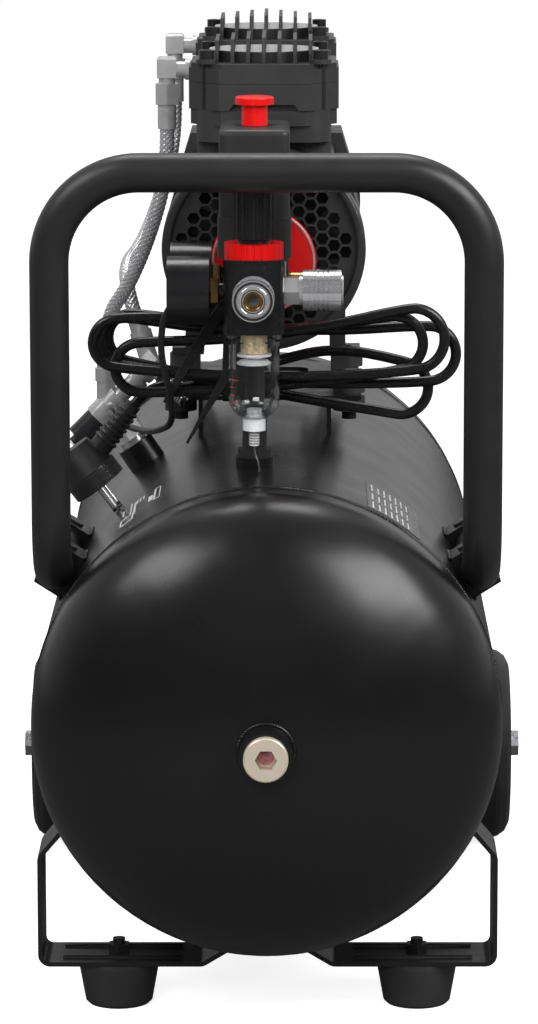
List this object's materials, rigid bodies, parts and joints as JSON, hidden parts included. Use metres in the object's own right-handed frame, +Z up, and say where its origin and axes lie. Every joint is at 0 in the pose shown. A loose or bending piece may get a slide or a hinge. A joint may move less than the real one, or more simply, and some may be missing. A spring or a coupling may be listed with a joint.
{
  "type": "air compressor",
  "caption": "Portable oil-free air compressor: twin-cylinder motor on a horizontal tank with bent-tube handle, rubber feet, rear wheels, filter regulator, gauges and quick couplings.",
  "frame": {"origin": "on the floor under the middle of the tank", "axes": "+Z up, +Y from the filter regulator end to the wheel end along the tank, +X to the right seen from the regulator end"},
  "size_m": [0.3706, 0.826, 0.624],
  "materials": {
    "tank_paint": "satin black paint",
    "tube_paint": "satin black powder coat",
    "bracket_paint": "satin black powder coat",
    "yellow_zinc": "yellow passivated zinc",
    "zinc": "bright zinc plate",
    "rubber": "matt moulded rubber",
    "brass": "turned brass",
    "cast_black": "black paint on die-cast aluminium",
    "lamination_steel": "stacked laminations",
    "black_screw": "black oxide",
    "bearing_steel": "ground steel",
    "fan_plastic": "moulded nylon",
    "cast_aluminium": "die cast",
    "cover_plastic": "moulded plastic",
    "red_plastic": "glossy moulded plastic",
    "nickel": "nickel plate",
    "chrome": "chrome plate",
    "steel_braid": "woven stainless braid",
    "black_anodised": "black coil, metal mesh silencer",
    "manifold_black": "black coated casting",
    "black_nylon": "nylon tube",
    "switch_plastic": "fine textured plastic",
    "gland_plastic": "nylon",
    "regulator_black": "semi gloss",
    "knob_plastic": "ribbed grip",
    "clear_bowl": "clear polycarbonate",
    "sintered_bronze": "sintered bronze",
    "drain_plastic": "translucent nylon",
    "gauge_black": "gloss black",
    "gauge_glass": "flat lens",
    "needle_red": "painted",
    "wheel_plastic": "moulded plastic, soft tread",
    "cord_rubber": "smooth sheath",
    "plug_plastic": "moulded rubber, nickel pins"
  },
  "bodies": {
    "frame": {"tank_shell": "tank_paint", "tank_heads": "tank_paint", "tank_weld_fittings": "tank_paint", "tank_port_plugs": "yellow_zinc", "handle_tube": "tube_paint", "frame_bolts": "black_screw", "left_foot_bracket": "bracket_paint", "right_foot_bracket": "bracket_paint", "rubber_feet": "rubber", "rear_wheel_bracket": "bracket_paint", "axle_bolts": "zinc", "drain_valve_body": "brass", "motor_saddle": "bracket_paint", "vibration_mounts": "rubber", "motor_housing": "cast_black", "stator_core": "lamination_steel", "crankcases": "cast_black", "cylinders": "cast_black", "valve_plates": "cast_black", "cylinder_heads": "cast_black", "m6_screws": "black_screw", "shaft_bearings": "bearing_steel", "fan_covers": "cover_plastic", "fan_badge": "red_plastic", "hose_fittings": "nickel", "braided_hoses": "steel_braid", "check_valve": "nickel", "relief_valve": "black_anodised", "riser_manifold": "manifold_black", "unloader_tube": "black_nylon", "pressure_switch_base": "switch_plastic", "pressure_switch_cover": "switch_plastic", "cable_gland": "gland_plastic", "safety_valve_body": "brass", "regulator_body": "regulator_black", "regulator_ring": "red_plastic", "filter_bowl": "clear_bowl", "filter_element": "sintered_bronze", "coupling_bodies": "nickel", "gauge_cases": "gauge_black", "gauge_lenses": "gauge_glass", "cord_hank": "cord_rubber", "cord_at_switch": "cord_rubber", "plug": "plug_plastic"},
    "wheel_left": {"left_wheel": "wheel_plastic"},
    "wheel_right": {"right_wheel": "wheel_plastic"},
    "shaft": {"crankshaft": "bearing_steel", "rotor_core": "lamination_steel", "cooling_fans": "fan_plastic"},
    "piston_front": {"front_piston": "cast_aluminium"},
    "piston_rear": {"rear_piston": "cast_aluminium"},
    "switch_button": {"switch_knob": "red_plastic"},
    "pressure_knob": {"regulator_knob": "knob_plastic"},
    "side_sleeve": {"side_coupling_sleeve": "chrome"},
    "front_sleeve": {"front_coupling_sleeve": "chrome"},
    "needle_front": {"front_gauge_needle": "needle_red"},
    "needle_rear": {"rear_gauge_needle": "needle_red"},
    "safety_pull": {"safety_valve_pull": "nickel"},
    "tank_drain_screw": {"drain_valve_screw": "brass"},
    "bowl_drain": {"bowl_drain_valve": "drain_plastic"}
  },
  "joints": [
    {"name": "left_wheel_spin", "type": "hinge", "parent": "frame", "child": "wheel_left", "pos_m": [-0.1593, 0.218, 0.0705], "axis": [1, 0, 0], "continuous": true},
    {"name": "right_wheel_spin", "type": "hinge", "parent": "frame", "child": "wheel_right", "pos_m": [0.1593, 0.218, 0.0705], "axis": [1, 0, 0], "continuous": true},
    {"name": "shaft_spin", "type": "hinge", "parent": "frame", "child": "shaft", "pos_m": [-0.003, 0.038, 0.485], "axis": [0, 1, 0], "continuous": true},
    {"name": "front_piston_stroke", "type": "slide", "parent": "frame", "child": "piston_front", "axis": [0, 0, 1], "range_m": [-0.007, 0.007]},
    {"name": "rear_piston_stroke", "type": "slide", "parent": "frame", "child": "piston_rear", "axis": [0, 0, 1], "range_m": [-0.007, 0.007]},
    {"name": "switch_knob_push", "type": "slide", "parent": "frame", "child": "switch_button", "axis": [0, 0, 1], "range_m": [-0.008, 0]},
    {"name": "regulator_turn", "type": "hinge", "parent": "frame", "child": "pressure_knob", "pos_m": [-0.0084, -0.24, 0.52], "axis": [0, 0, 1], "range_deg": [-720, 720]},
    {"name": "side_sleeve_slide", "type": "slide", "parent": "frame", "child": "side_sleeve", "axis": [-1, 0, 0], "range_m": [0, 0.002], "stiffness_N_per_m": 1200},
    {"name": "front_sleeve_slide", "type": "slide", "parent": "frame", "child": "front_sleeve", "axis": [0, 1, 0], "range_m": [0, 0.002], "stiffness_N_per_m": 1200},
    {"name": "front_needle_turn", "type": "hinge", "parent": "frame", "child": "needle_front", "pos_m": [-0.0576, -0.24, 0.4726], "axis": [1, 0, 0], "range_deg": [0, 270], "stiffness_Nm_per_rad": 0.0005},
    {"name": "rear_needle_turn", "type": "hinge", "parent": "frame", "child": "needle_rear", "pos_m": [-0.0576, -0.162, 0.4726], "axis": [1, 0, 0], "range_deg": [0, 270], "stiffness_Nm_per_rad": 0.0005},
    {"name": "safety_pull_slide", "type": "slide", "parent": "frame", "child": "safety_pull", "axis": [1, 0, 0], "range_m": [0, 0.003], "stiffness_N_per_m": 800},
    {"name": "tank_drain_turn", "type": "hinge", "parent": "frame", "child": "tank_drain_screw", "pos_m": [0, 0, 0.036], "axis": [0, 0, 1], "range_deg": [0, 720]},
    {"name": "bowl_drain_push", "type": "slide", "parent": "frame", "child": "bowl_drain", "axis": [0, 0, -1], "range_m": [0, 0.003], "stiffness_N_per_m": 300}
  ]
}
